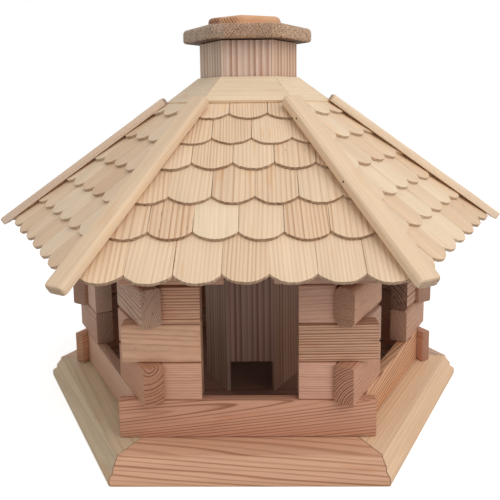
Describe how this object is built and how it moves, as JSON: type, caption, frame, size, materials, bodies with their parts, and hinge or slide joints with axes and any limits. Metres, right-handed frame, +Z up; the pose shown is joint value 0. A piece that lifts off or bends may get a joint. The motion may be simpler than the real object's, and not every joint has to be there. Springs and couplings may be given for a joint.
{
  "type": "bird feeder",
  "caption": "Hexagonal wooden bird feeder with stacked-log walls, open doorways, shingled roof and a central seed silo whose chimney has a lift-off lid.",
  "frame": {"origin": "middle of the base's underside, on the floor it stands on", "axes": "+Z up; one flat side of the hexagon, the front, faces -Y; +X to the right, through two corners"},
  "size_m": [0.6466, 0.57, 0.4645],
  "materials": {
    "base_boards": "planed softwood, unpainted, pinkish tan with dark lengthwise grain",
    "floor_board": "thin softwood plywood, unpainted",
    "sill_boards": "planed softwood, unpainted, reddish with strong grain",
    "logs": "planed softwood, unpainted, with rounded long edges and bare end grain",
    "wall_plates": "planed softwood, unpainted",
    "silo_boards": "softwood boards with soft lengthwise ribs, unpainted",
    "roof_boards": "planed softwood, unpainted",
    "shingles": "split and sanded softwood shingles, unpainted",
    "collar_boards": "thin smooth softwood, unpainted",
    "hip_battens": "sanded softwood battens with rounded edges, unpainted",
    "lid_plate": "sanded softwood, speckled end grain, unpainted",
    "lid_block": "sanded softwood, orange side grain and striped end grain, unpainted"
  },
  "bodies": {
    "house": {"base_front": "base_boards", "base_front_right": "base_boards", "base_back_right": "base_boards", "base_back": "base_boards", "base_back_left": "base_boards", "base_front_left": "base_boards", "floor_plate": "floor_board", "sill_front": "sill_boards", "sill_front_right": "sill_boards", "sill_back_right": "sill_boards", "sill_back": "sill_boards", "sill_back_left": "sill_boards", "sill_front_left": "sill_boards", "lapping_logs_front": "logs", "lapping_logs_front_right": "logs", "lapping_logs_back_right": "logs", "lapping_logs_back": "logs", "lapping_logs_back_left": "logs", "lapping_logs_front_left": "logs", "butting_logs_front": "logs", "butting_logs_front_right": "logs", "butting_logs_back_right": "logs", "butting_logs_back": "logs", "butting_logs_back_left": "logs", "butting_logs_front_left": "logs", "long_side_wall_plates": "wall_plates", "short_side_wall_plates": "wall_plates", "silo_short_boards": "silo_boards", "silo_long_boards": "silo_boards", "roof_boards_even": "roof_boards", "roof_boards_odd": "roof_boards", "shingles_front": "shingles", "shingles_front_right": "shingles", "shingles_back_right": "shingles", "shingles_back": "shingles", "shingles_back_left": "shingles", "shingles_front_left": "shingles", "collar_boards_even": "collar_boards", "collar_boards_odd": "collar_boards", "hip_battens": "hip_battens"},
    "lid": {"lid_plate": "lid_plate", "lid_block": "lid_block", "lid_plug": "lid_plate"}
  },
  "joints": [
    {"name": "lid_lift", "type": "slide", "parent": "house", "child": "lid", "axis": [0, 0, 1], "range_m": [0, 0.06]}
  ]
}
